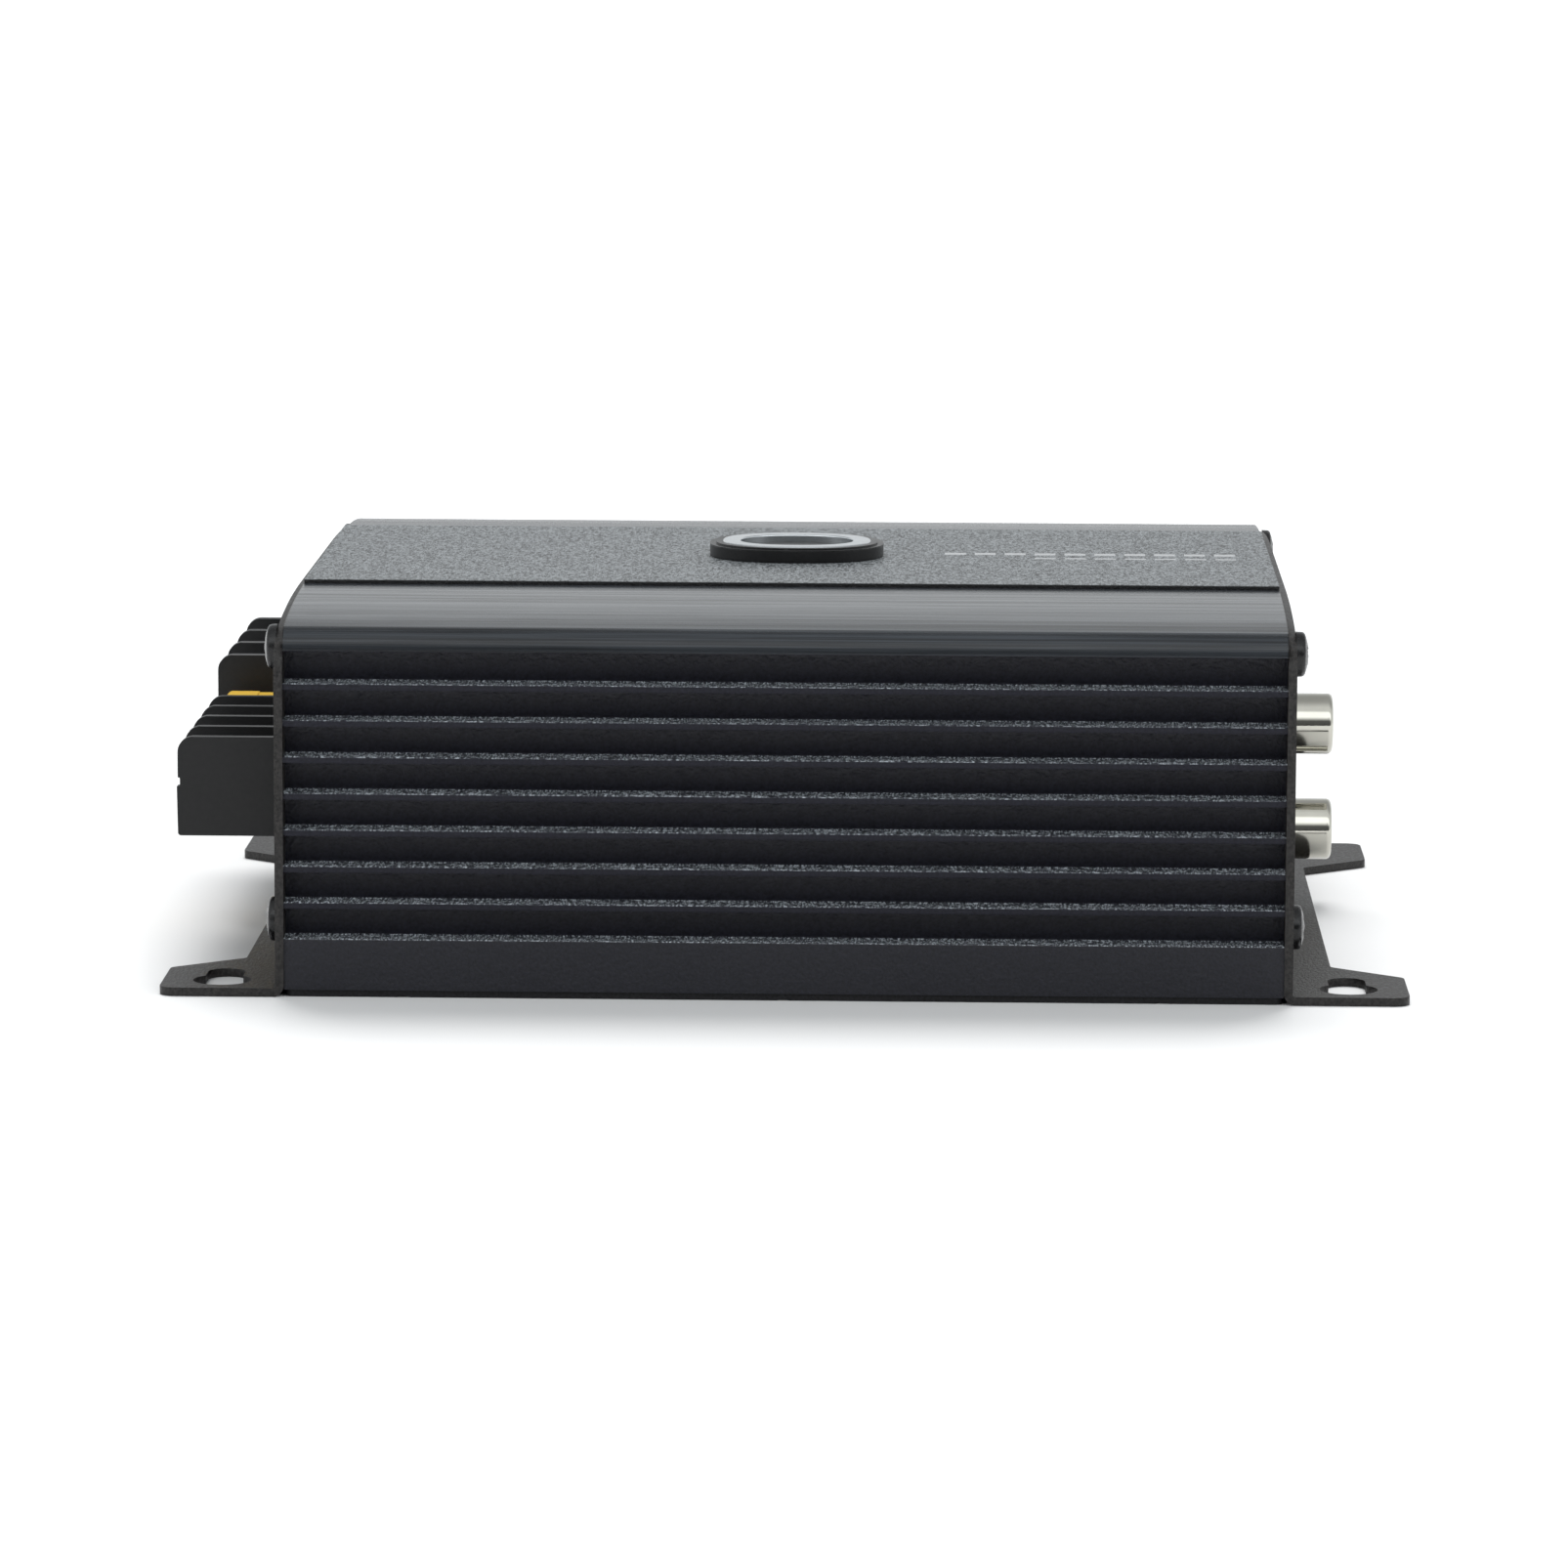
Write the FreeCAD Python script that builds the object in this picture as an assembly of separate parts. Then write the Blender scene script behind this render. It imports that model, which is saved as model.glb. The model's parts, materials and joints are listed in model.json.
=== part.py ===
import FreeCAD, Part
import math
import os
from FreeCAD import Vector as V

# Two-channel car amplifier: a finned aluminium extrusion over a steel base, closed at each
# end by a folded steel plate whose foot carries the fixing tabs. Millimetres. Origin at the
# centre of the base, +Z up, -Y is the front finned side, -X the wiring end, +X the input end.

# ---------------------------------------------------------------- driving dimensions
LENGTH = 128.6          # over the outer faces of the two end plates (X)
DEPTH = 125.0           # front to rear over the end plates (Y)
SHEET = 1.1             # end plate sheet thickness
BASE_T = 0.9            # base cover sheet thickness
TAB_END_X = 79.14       # half length over the fixing tabs
TAB_END_W = 14.84       # width of a tab at its outer end
FLANGE_X = 70.1         # outer edge of the foot flange between the tabs
TAB_ROOT_W = 22.3       # where the tapered tab edge meets the flange
HOLE_X = 71.6           # fixing hole centres, +-X
KEY_R = 3.7             # keyhole, large end
KEY_SLOT_R = 2.4        # keyhole, narrow end, and the round rear holes
KEY_D = 6.0             # keyhole centre from the front edge
KEY_SLOT_D = 11.9       # centre of the keyhole's narrow end
REAR_HOLE_D = 119.0     # rear hole centre from the front edge
FIN_FACE = 0.3          # fin tips behind the plate edge
FIN_DEPTH = 3.2
FIN_T = 0.88
FIN_PITCH = 4.65
SKIRT_TOP = 7.46
N_GROOVES = 8
BAND_LOW = 44.1         # lower edge of the brushed shoulder
CROWN_EDGE = 31.2       # shoulder's inner edge, from the front
CROWN_Z = 48.92
RECESS_Z = 48.1         # floor of the recess for the top panel
PANEL_T = 1.35
WALL_IN = 6.2           # inner wall face, from the front
ROOF_Z = 45.8
LEDGE_IN = 9.6          # transistor ledge face, from the front
LEDGE_Z = (15.5, 35.0)
BOSS_D, BOSS_R = 6.3, 2.9
BOSS_Z = (9.0, 43.9)
TAP_R = 1.25
SCREW_HEAD_R = 2.87
SCREW_HEAD_H = 1.65
PCB_Z = (4.0, 5.6)
PCB_D = (9.8, 115.2)
PCB_X = 61.4
RCA_R = 4.15
RCA_D = 80.0
RCA_Z = (24.7, 10.2)
RCA_OUT = 8.4
SP_D0, SP_PITCH, SP_N, SP_WALL = 15.8, 9.5, 4, 1.4
PW_D0, PW_PITCH, PW_N, PW_WALL = 66.9, 13.0, 3, 1.8
BLOCK_OUT = 14.0
BLOCK_Z0 = 18.1
SP_TOP, PW_TOP = 30.9, 34.7
NOTCH_Z = (24.5, 25.6)  # small notch on the outer edge of every divider
FUSE_D, FUSE_Z = 61.1, 20.85
BADGE = (23.2, 20.0, 2.0)

HX = LENGTH / 2
IX = HX - SHEET         # inner face of an end plate
HY = DEPTH / 2

os.makedirs("parts", exist_ok=True)
MADE = {}


def save(name, *shapes):
    solids = []
    for s in shapes:
        solids += s.Solids
    for s in solids:
        assert s.isValid() and s.Volume > 0, name
    out = solids[0] if len(solids) == 1 else Part.makeCompound(solids)
    out.exportStep("parts/%s.step" % name)
    MADE[name] = (len(solids), sum(s.Volume for s in solids))


def Y(d):
    """Distance from the front edge to row Y."""
    return d - HY


def box(x0, x1, d0, d1, z0, z1):
    return Part.makeBox(x1 - x0, d1 - d0, z1 - z0, V(x0, Y(d0), z0))


def cyl(x, d, z, r, h, axis):
    return Part.makeCylinder(r, h, V(x, Y(d), z), axis)


XP, XM, YP, YM, ZP = V(1, 0, 0), V(-1, 0, 0), V(0, 1, 0), V(0, -1, 0), V(0, 0, 1)


def rounded_edges(pts, put, closed=True):
    """Edges of a polygon given as (u, v, corner radius), through put(u, v)."""
    n = len(pts)
    corners = []
    for i in range(n):
        p1 = V(pts[i][0], pts[i][1], 0)
        r = pts[i][2] if len(pts[i]) > 2 else 0.0
        if not closed and i in (0, n - 1):
            corners.append((p1, None, p1))
            continue
        p0, p2 = V(pts[i - 1][0], pts[i - 1][1], 0), V(pts[(i + 1) % n][0], pts[(i + 1) % n][1], 0)
        a, b = (p0 - p1), (p2 - p1)
        a.normalize(); b.normalize()
        ang = a.getAngle(b)
        if r <= 0 or abs(ang - math.pi) < 1e-6:
            corners.append((p1, None, p1))
            continue
        tl = r / math.tan(ang / 2)
        bis = a + b
        bis.normalize()
        c = p1 + bis * (r / math.sin(ang / 2))
        corners.append((p1 + a * tl, c - bis * r, p1 + b * tl))
    edges = []
    last = n if closed else n - 1
    for i in range(n):
        a, m, b = corners[i]
        if m is not None:
            edges.append(Part.Arc(put(a.x, a.y), put(m.x, m.y), put(b.x, b.y)).toShape())
        if i < last:
            nxt = corners[(i + 1) % n][0]
            if (nxt - b).Length > 1e-7:
                edges.append(Part.LineSegment(put(b.x, b.y), put(nxt.x, nxt.y)).toShape())
    return edges


def prism(pts, put, vec):
    face = Part.Face(Part.Wire(Part.__sortEdges__(rounded_edges(pts, put))))
    return face.extrude(vec)


def yz(x):
    return lambda u, v: V(x, Y(u), v)


def xz(d):
    return lambda u, v: V(u, Y(d), v)


def xy(z):
    return lambda u, v: V(u, Y(v), z)


def curve(points, put, t0=None, t1=None):
    c = Part.BSplineCurve()
    pp = [put(u, v) for u, v in points]
    o = put(0, 0)
    kw = {}
    if t0 is not None:
        kw = {"InitialTangent": (put(*t0) - o).normalize(), "FinalTangent": (put(*t1) - o).normalize()}
    c.interpolate(Points=pp, **kw)
    return c.toShape()


def chamfer_cyl(x, d, z, r, h, axis, c):
    """A cylinder whose far end has its rim chamfered by c."""
    base = V(x, Y(d), z)
    a = Part.makeCylinder(r, h - c, base, axis)
    b = Part.makeCone(r, r - c, c, base + axis * (h - c), axis)
    return a.fuse(b).removeSplitter()


def button_head(x, d, z, r, h, axis, hex_af):
    """Domed screw head with a hexagon socket, seated on the point given."""
    base = V(x, Y(d), z)
    rim = 0.45
    dome_h = h - rim
    rs = (r * r + dome_h * dome_h) / (2 * dome_h) * 1.12
    rim_c = Part.makeCylinder(r, rim, base, axis)
    ball = Part.makeSphere(rs, base + axis * (h - rs))
    top = Part.makeCylinder(r, h + 1, base, axis).common(ball)
    head = top.fuse(rim_c).removeSplitter()
    pts = []
    u = V(0, 0, 1) if abs(axis.z) < 0.5 else V(1, 0, 0)
    w = axis.cross(u)
    for k in range(6):
        a = math.pi / 3 * k
        pts.append(base + axis * (h - 1.15) + u * (math.cos(a) * hex_af / math.sqrt(3)) + w * (math.sin(a) * hex_af / math.sqrt(3)))
    sock = Part.Face(Part.makePolygon(pts + [pts[0]])).extrude(axis * 3)
    return head.cut(sock)


def pan_head(x, d, z, r, h, axis, turn):
    """Low domed screw head with a tapered cross recess, turned about its axis by turn degrees."""
    dome_h = 0.62
    rs = (r * r + dome_h * dome_h) / (2 * dome_h)
    s = Part.makeCone(r, r - 0.14, h + 1, V(0, 0, 0), ZP).common(Part.makeSphere(rs, V(0, 0, h - rs)))
    s = s.makeFillet(0.5, [e for e in s.Edges if e.Closed and e.BoundBox.ZMin > 0.3 and e.BoundBox.XLength > r])
    cut = None
    for k in range(2):
        ws = []
        for half, width, zz in ((r * 0.60, 0.95, h + 0.02), (r * 0.22, 0.5, h - 1.35)):
            q = [(-half, -width / 2), (half, -width / 2), (half, width / 2), (-half, width / 2)]
            pp = [V(a if k == 0 else b, b if k == 0 else -a, zz) for a, b in q]
            ws.append(Part.makePolygon(pp + [pp[0]]))
        arm = Part.makeLoft(ws, True)
        cut = arm if cut is None else cut.fuse(arm)
    s = s.cut(cut)
    s.rotate(V(0, 0, 0), ZP, turn)
    place = FreeCAD.Placement(V(x, Y(d), z), FreeCAD.Rotation(ZP, axis))
    return s.transformed(place.toMatrix())


def cross_recess(x, d, z, size, depth, width):
    """Cross recess cut down from z, as tapered arms."""
    out = None
    for k in range(2):
        top = [(-size, -width / 2), (size, -width / 2), (size, width / 2), (-size, width / 2)]
        low = [(-size * 0.45, -width * 0.32), (size * 0.45, -width * 0.32), (size * 0.45, width * 0.32), (-size * 0.45, width * 0.32)]
        ws = []
        for pts, zz in ((top, z + 0.01), (low, z - depth)):
            pp = [V(x + (a if k == 0 else b), Y(d) + (b if k == 0 else -a), zz) for a, b in pts]
            ws.append(Part.makePolygon(pp + [pp[0]]))
        s = Part.makeLoft(ws, True)
        out = s if out is None else out.fuse(s)
    return out


# ---------------------------------------------------------------- heat sink extrusion
def crown(put, mirror=False, lower=0.0):
    def m(u, v):
        return put(DEPTH - u, v) if mirror else put(u, v)

    cr, cu, cv = 2.8, FIN_FACE + 2.8, 44.24
    e = lambda a: (cu - cr * math.cos(a), cv + cr * math.sin(a))
    a1 = math.radians(79)
    arc = Part.Arc(m(*e(0)), m(*e(a1 / 2)), m(*e(a1))).toShape()
    sp = curve([e(a1), (4.0, 47.23), (6.5, 47.54), (9.0, 47.81), (12.0, 48.07), (15.0, 48.30), (18.6, 48.52), (22.5, 48.70), (27.0, 48.84),
                (CROWN_EDGE, CROWN_Z)], m, (math.cos(math.radians(11)), math.sin(math.radians(11))), (1, 0.015))
    return arc, sp, e(0)


def side_points():
    """Fin side from the bottom to the shoulder band, as (distance, z, radius)."""
    f, r = FIN_FACE, FIN_FACE + FIN_DEPTH
    pts = [(f, BASE_T, 0), (f, SKIRT_TOP, 0.22)]
    for k in range(N_GROOVES):
        z0 = SKIRT_TOP + k * FIN_PITCH
        z1 = z0 + FIN_PITCH - FIN_T if k < N_GROOVES - 1 else BAND_LOW
        pts += [(r, z0, 0.35), (r, z1, 0.35)]
        if k < N_GROOVES - 1:
            pts += [(f, z1, 0.16), (f, z1 + FIN_T, 0.2)]
        else:
            pts += [(f, z1, 0.1)]
    return pts


put = yz(-IX)
arc_f, sp_f, start = crown(put)
arc_r, sp_r, _ = crown(put, True)
pts = side_points() + [(start[0], start[1], 0)]
edges = rounded_edges(pts, put, closed=False)
edges += rounded_edges(pts, lambda u, v: put(DEPTH - u, v), closed=False)
edges += [arc_f, sp_f, arc_r, sp_r]
for m in (lambda u, v: put(u, v), lambda u, v: put(DEPTH - u, v)):
    edges.append(Part.LineSegment(m(CROWN_EDGE, CROWN_Z), m(CROWN_EDGE, RECESS_Z)).toShape())
edges.append(Part.LineSegment(put(CROWN_EDGE, RECESS_Z), put(DEPTH - CROWN_EDGE, RECESS_Z)).toShape())
edges.append(Part.LineSegment(put(FIN_FACE, BASE_T), put(DEPTH - FIN_FACE, BASE_T)).toShape())
outer = Part.Face(Part.Wire(Part.__sortEdges__(edges)))
body = outer.extrude(V(2 * IX, 0, 0))

cav = []
for s in (0, 1):
    side = [(WALL_IN, BASE_T - 1), (WALL_IN, LEDGE_Z[0]), (LEDGE_IN, LEDGE_Z[0] + 1.2), (LEDGE_IN, LEDGE_Z[1] - 1.2),
            (WALL_IN, LEDGE_Z[1]), (WALL_IN, ROOF_Z)]
    cav.append([(DEPTH - u, v) for u, v in side] if s else side)
loop = [(u, v, 0.8 if 0 < i < 5 else (1.6 if i == 5 else 0)) for i, (u, v) in enumerate(cav[0])]
loop += [(u, v, 0.8 if 0 < i < 5 else (1.6 if i == 5 else 0)) for i, (u, v) in reversed(list(enumerate(cav[1])))]
body = body.cut(prism(loop, yz(-IX - 1), V(2 * IX + 2, 0, 0)))
guard = box(-IX, IX, FIN_FACE + FIN_DEPTH + 0.9, DEPTH - FIN_FACE - FIN_DEPTH - 0.9, BASE_T, 47.4)
for d in (BOSS_D, DEPTH - BOSS_D):
    for z in BOSS_Z:
        body = body.fuse(cyl(-IX, d, z, BOSS_R, 2 * IX, XP).common(guard))
body = body.removeSplitter()
for d in (BOSS_D, DEPTH - BOSS_D):
    for z in BOSS_Z:
        for x, a in ((-IX - 1, XP), (IX + 1, XM)):
            body = body.cut(cyl(x, d, z, TAP_R, 15, a))
BASE_SCREWS = [(x, d) for x in (-48.0, 0.0, 48.0) for d in (3.3, DEPTH - 3.3)]
for x, d in BASE_SCREWS:
    body = body.cut(cyl(x, d, BASE_T - 0.5, TAP_R, 5.9, ZP))
CLAMP_X = (-26.0, 0.0, 26.0)
CLAMP_Z = 27.5
for x in CLAMP_X:
    body = body.cut(cyl(x, LEDGE_IN + 1, CLAMP_Z, TAP_R, 4.4, YM))
    body = body.cut(cyl(x, DEPTH - LEDGE_IN - 1, CLAMP_Z, TAP_R, 4.4, YP))
save("heatsink_cover", body)

# ---------------------------------------------------------------- top panel and badge
panel = box(-IX, IX, CROWN_EDGE + 0.15, DEPTH - CROWN_EDGE - 0.15, RECESS_Z, RECESS_Z + PANEL_T)
long_top = [e for e in panel.Edges if abs(e.BoundBox.ZMin - (RECESS_Z + PANEL_T)) < 1e-6 and abs(e.BoundBox.ZMax - (RECESS_Z + PANEL_T)) < 1e-6
            and e.BoundBox.XLength > 50]
panel = panel.makeFillet(0.14, long_top)
PTOP = RECESS_Z + PANEL_T


def oval(w, h, n, put):
    """Closed superellipse outline."""
    pts = []
    N = 48
    for i in range(N):
        a = 2 * math.pi * i / N
        c, s = math.cos(a), math.sin(a)
        pts.append(put(w / 2 * math.copysign(abs(c) ** (2 / n), c), h / 2 * math.copysign(abs(s) ** (2 / n), s)))
    b = Part.BSplineCurve()
    b.interpolate(Points=pts, PeriodicFlag=True)
    return Part.Wire([b.toShape()])


def oval_prism(w, h, z0, z1, n=2.3):
    return Part.Face(oval(w, h, n, lambda u, v: V(u, v, z0))).extrude(V(0, 0, z1 - z0))


bw, bh, bt = BADGE
badge = oval_prism(bw, bh, PTOP, PTOP + bt - 0.35)
step = oval_prism(bw - 1.6, bh - 1.6, PTOP + bt - 0.35, PTOP + bt - 0.1)
badge = badge.fuse(step).removeSplitter()
dish = oval_prism(bw - 3.4, bh - 3.4, PTOP + bt - 0.85, PTOP + bt + 1)
badge = badge.cut(dish)
ring = oval_prism(bw - 3.4, bh - 3.4, PTOP + bt - 0.85, PTOP + bt).cut(oval_prism(bw - 8.2, bh - 8.2, PTOP + bt - 1, PTOP + bt + 1))
rim = [e for e in ring.Edges if abs(e.BoundBox.ZMin - (PTOP + bt)) < 1e-4]
ring = ring.makeFillet(0.18, rim)
for x in (-7.0, 7.0):
    peg = cyl(x, HY, RECESS_Z - 1.0, 0.9, 1.0 + PANEL_T, ZP)
    badge = badge.fuse(peg)
    panel = panel.cut(cyl(x, HY, RECESS_Z - 1.0, 0.9, 4, ZP))
badge = badge.removeSplitter()
hole = [cyl(x, HY, RECESS_Z - 1.0, 0.9, 2, ZP) for x in (-7.0, 7.0)]
for h in hole:
    body = body.cut(h)
save("heatsink_cover", body)
save("top_panel", panel)
save("badge_base", badge)
save("badge_ring", ring)

# ---------------------------------------------------------------- base cover
base = prism([(-IX + 0.1, 0.6, 1.0), (IX - 0.1, 0.6, 1.0), (IX - 0.1, DEPTH - 0.6, 1.0), (-IX + 0.1, DEPTH - 0.6, 1.0)], xy(0), V(0, 0, BASE_T))
for s in (-1, 1):   # the end plate's bend runs over these two edges
    base = base.cut(box(s * IX - 0.02 if s > 0 else -IX - 1, IX + 1 if s > 0 else -IX + 0.02, 0, DEPTH, -1, 2))
for x, d in BASE_SCREWS:
    base = base.cut(Part.makeCone(2.85, 1.75, BASE_T + 0.002, V(x, Y(d), -0.001), ZP))
STAND = [(x, d) for x in (-47.0, 0.0, 46.0) for d in (19.0, 106.0)]
for x, d in STAND:
    base = base.cut(cyl(x, d, -1, 2.2, 3, ZP))
save("base_cover", base)

screws = []
for x, d in BASE_SCREWS:
    head = Part.makeCone(2.7, 1.65, BASE_T - 0.08, V(x, Y(d), 0.06), ZP)
    head = head.cut(Part.makeCylinder(2.8, 0.02, V(x, Y(d), 0.05), ZP))
    shank = cyl(x, d, BASE_T - 0.06, TAP_R, 4.6, ZP)
    s = head.fuse(shank).removeSplitter()
    for k in range(2):
        w, l = (0.6, 2.6) if k else (2.6, 0.6)
        s = s.cut(Part.makeBox(w, l, 0.6, V(x - w / 2, Y(d) - l / 2, 0)))
    screws.append(s)
save("base_cover_screws", *screws)

stand = []
for x, d in STAND:
    s = cyl(x, d, 0.15, 2.2, 1.0, ZP).fuse(cyl(x, d, BASE_T, 3.0, PCB_Z[0] - BASE_T, ZP)).removeSplitter()
    s = s.cut(cyl(x, d, 0.1, TAP_R, 5, ZP))
    stand.append(s)
save("pcb_standoffs", *stand)

# ---------------------------------------------------------------- end plates
def plate_outline(put):
    def half(mirror):
        m = (lambda u, v: put(DEPTH - u, v)) if mirror else put
        cr, cu, cv = 4.0, 4.0, 41.3
        e = lambda a: (cu - cr * math.cos(a), cv + cr * math.sin(a))
        a1 = math.radians(70)
        arc = Part.Arc(m(*e(0)), m(*e(a1 / 2)), m(*e(a1))).toShape()
        sp = curve([e(a1), (6.0, 46.15), (10.0, 46.86), (15.0, 47.33), (18.6, 47.62), (22.6, 47.87), (27.3, 48.05), (33.0, 48.17), (40.0, 48.22)], m,
                   (math.cos(math.radians(20)), math.sin(math.radians(20))), (1, 0.001))
        low = Part.LineSegment(m(0, 1.5), m(*e(0))).toShape()
        return [low, arc, sp]

    edges = half(False) + half(True)
    edges.append(Part.LineSegment(put(40.0, 48.22), put(DEPTH - 40.0, 48.22)).toShape())
    edges.append(Part.LineSegment(put(0, 1.5), put(DEPTH, 1.5)).toShape())
    return Part.Face(Part.Wire(Part.__sortEdges__(edges)))


def end_plate(side):
    """Folded plate: upright, bend and foot flange with tapered tabs. side is -1 or +1."""
    s = side
    up = plate_outline(yz(s * IX)).extrude(V(s * SHEET, 0, 0))
    bi, bo = 0.4, 0.4 + SHEET
    cx, cz = s * (HX + bi), SHEET + bi
    mid = lambda r: (cx - s * r * math.cos(math.pi / 4), cz - r * math.sin(math.pi / 4))
    pt = lambda u, v: V(u, Y(0), v)
    loop = [Part.Arc(pt(cx - s * bo, cz), pt(*mid(bo)), pt(cx, cz - bo)).toShape(),
            Part.LineSegment(pt(cx, cz - bo), pt(cx, cz - bi)).toShape(),
            Part.Arc(pt(cx, cz - bi), pt(*mid(bi)), pt(cx - s * bi, cz)).toShape(),
            Part.LineSegment(pt(cx - s * bi, cz), pt(cx - s * bo, cz)).toShape()]
    bend = Part.Face(Part.Wire(Part.__sortEdges__(loop))).extrude(V(0, DEPTH, 0))
    c = HX + bi
    foot_pts = [(c, 0, 0), (TAB_END_X, 0, 2.0), (TAB_END_X, TAB_END_W, 1.6), (FLANGE_X, TAB_ROOT_W, 1.2),
                (FLANGE_X, DEPTH - TAB_ROOT_W, 1.2), (TAB_END_X, DEPTH - TAB_END_W, 1.6), (TAB_END_X, DEPTH, 2.0), (c, DEPTH, 0)]
    foot = prism([(s * u, v, r) for u, v, r in foot_pts], xy(0), V(0, 0, SHEET))
    hx = s * HOLE_X
    foot = foot.cut(cyl(hx, KEY_D, -1, KEY_R, 4, ZP)).cut(cyl(hx, KEY_SLOT_D, -1, KEY_SLOT_R, 4, ZP))
    foot = foot.cut(box(hx - KEY_SLOT_R, hx + KEY_SLOT_R, KEY_D, KEY_SLOT_D, -1, 3))
    foot = foot.cut(cyl(hx, REAR_HOLE_D, -1, KEY_SLOT_R, 4, ZP))
    p = up.fuse([bend, foot]).removeSplitter()
    for d in (BOSS_D, DEPTH - BOSS_D):
        for z in BOSS_Z:
            p = p.cut(cyl(s * (IX - 1), d, z, 1.7, 4, V(s, 0, 0)))
    return p


left = end_plate(-1)
right = end_plate(1)

# openings in the wiring end
sp_d1 = SP_D0 + SP_N * SP_PITCH + SP_WALL
pw_d1 = PW_D0 + PW_N * PW_PITCH + PW_WALL
left = left.cut(box(-HX - 1, -IX + 1, SP_D0 - 0.15, sp_d1 + 0.15, BLOCK_Z0 - 0.15, SP_TOP + 0.15))
left = left.cut(box(-HX - 1, -IX + 1, PW_D0 - 0.15, pw_d1 + 0.15, BLOCK_Z0 - 0.15, PW_TOP + 0.15))
left = left.cut(box(-HX - 1, -IX + 1, FUSE_D - 3.45, FUSE_D + 3.45, FUSE_Z - 11.0, FUSE_Z + 11.0))

# ---------------------------------------------------------------- barrier terminal blocks
XW = -HX                # outer face of the wiring end plate
BX = -IX                # its inner face


def terminal_block(d0, pitch, n, wall, top, floor_z, plate_t, screw_r, tail_w):
    """Moulded block: floor, dividers, back wall and an inner body down to the board."""
    d1 = d0 + n * pitch + wall
    x_out = XW - BLOCK_OUT
    floor = prism([(x_out + 0.3, BLOCK_Z0, 0.35), (XW, BLOCK_Z0, 0), (XW, floor_z, 0), (x_out + 0.3, floor_z, 0.2)], xz(d0 + 0.2), V(0, d1 - d0 - 0.4, 0))
    parts = []
    for k in range(n + 1):
        a = d0 + k * pitch
        w = prism([(x_out + 0.12, BLOCK_Z0, 0.4), (XW, BLOCK_Z0, 0), (XW, top, 0), (x_out + 0.12, top, 2.0),
                   (x_out + 0.12, NOTCH_Z[1], 0.1), (x_out + 0.4, NOTCH_Z[1], 0.1), (x_out + 0.4, NOTCH_Z[0], 0.1), (x_out, NOTCH_Z[0], 0.1)],
                  xz(a), V(0, wall, 0))
        parts.append(w)
    back = box(XW - 1.6, BX, d0, d1, BLOCK_Z0, top)
    inner = box(BX, BX + 9.0, d0 - 0.9, d1 + 0.9, PCB_Z[1], top + 0.9)
    blk = floor.fuse(parts + [back, inner]).removeSplitter()
    # wall relief on the inside of the inner body, open to the rear, one pocket per way
    for k in range(n):
        a = d0 + wall + k * pitch
        wch = pitch - wall
        blk = blk.cut(box(BX + 3.4, BX + 10, a + 0.3, a + wch - 0.3, PCB_Z[1] + 1.2, floor_z - 1.6))
        c = a + wch / 2
        # slot for the contact bar, its tail, and the screw pocket
        blk = blk.cut(box(XW - 3.0, BX + 6.0, c - tail_w / 2 - 0.05, c + tail_w / 2 + 0.05, floor_z - 0.02, floor_z + plate_t + 0.05))
        blk = blk.cut(box(BX + 5.0, BX + 6.0 + 0.05, c - 1.6, c + 1.6, PCB_Z[1] - 1, floor_z + plate_t + 0.05))
        blk = blk.cut(cyl(XW - 7.4, a + wch / 2, BLOCK_Z0 + 0.7, screw_r + 0.35, floor_z, ZP))
    return blk.removeSplitter(), d1


def contact(c, width, tail_w, floor_z, t, hole_r):
    """Clamping bar that the wire is held against, with its tail down to the board."""
    x_out = XW - BLOCK_OUT + 1.2
    bar = prism([(x_out, Y(c) - width / 2, 0.5), (XW - 1.75, Y(c) - width / 2, 0.3), (XW - 1.75, Y(c) + width / 2, 0.3), (x_out, Y(c) + width / 2, 0.5)],
                lambda u, v: V(u, v, floor_z), V(0, 0, t))
    neck = Part.makeBox(BX + 6.0 - (XW - 2.6), tail_w, t, V(XW - 2.6, Y(c) - tail_w / 2, floor_z))
    tail = Part.makeBox(0.9, 3.0, floor_z + t - (PCB_Z[0] - 1.2), V(BX + 5.1, Y(c) - 1.5, PCB_Z[0] - 1.2))
    s = bar.fuse([neck, tail]).removeSplitter()
    return s.cut(cyl(XW - 7.4, c + 0.0, floor_z - 1, hole_r, 4, ZP))


def terminal_screw(c, z, head_r, head_h, shank_r, length, arm):
    s = cyl(XW - 7.4, c, z - length, shank_r, length, ZP)
    tip = Part.makeCone(shank_r - 0.35, shank_r, 0.4, V(XW - 7.4, Y(c), z - length - 0.4), ZP)
    base = V(XW - 7.4, Y(c), z)
    rs = (head_r ** 2 + (head_h * 0.55) ** 2) / (2 * head_h * 0.55)
    head = Part.makeCylinder(head_r, head_h, base, ZP).common(Part.makeSphere(rs * 1.15, base + V(0, 0, head_h - rs * 1.15)))
    s = s.fuse([tip, head]).removeSplitter()
    return s.cut(cross_recess(XW - 7.4, c, z + head_h, arm, head_h * 0.62, arm * 0.42))


def clamp_washer(c, z, size, t, hole_r):
    h = size / 2
    w = prism([(XW - 7.4 - h, Y(c) - h, 0.7), (XW - 7.4 + h, Y(c) - h, 0.7), (XW - 7.4 + h, Y(c) + h, 0.7), (XW - 7.4 - h, Y(c) + h, 0.7)],
              lambda u, v: V(u, v, z), V(0, 0, t))
    return w.cut(cyl(XW - 7.4, c, z - 1, hole_r, 4, ZP))


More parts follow.
